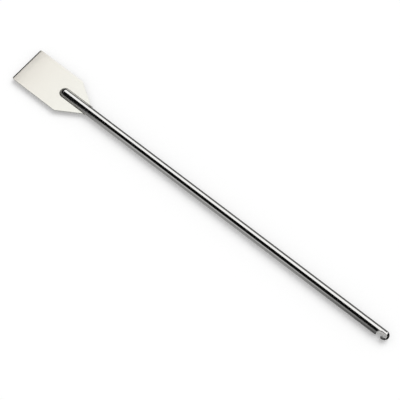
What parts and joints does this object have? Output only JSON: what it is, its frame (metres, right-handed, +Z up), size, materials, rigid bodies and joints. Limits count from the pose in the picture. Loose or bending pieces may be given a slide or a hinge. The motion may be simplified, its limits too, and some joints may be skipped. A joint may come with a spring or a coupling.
{
  "type": "stirring paddle",
  "caption": "Long kettle stirring paddle: flat sheet blade with tapered shoulders, let into a slotted round tube handle that ends in a hanging hook.",
  "frame": {"origin": "on the surface that the paddle lies on, under the middle of its length and width", "axes": "+X along the handle from the blade's tip to the hook, +Y across the blade away from the hook's mouth, +Z up, square to the blade"},
  "size_m": [1.2192, 0.1142, 0.0254],
  "materials": {
    "sheet_steel": "bright rolled sheet with a faint grain",
    "polished_tube": "mirror polished, with fine lengthwise lines",
    "polished_hook": "mirror polished by hand",
    "dressed_weld": "fillet bead, brushed clean",
    "flush_weld": "ground slightly hollow and polished"
  },
  "bodies": {
    "root": {"blade": "sheet_steel", "handle_tube": "polished_tube", "hook_end": "polished_hook", "top_weld": "dressed_weld", "underside_weld": "dressed_weld", "slot_end_welds": "dressed_weld", "hook_weld": "flush_weld"}
  },
  "joints": []
}
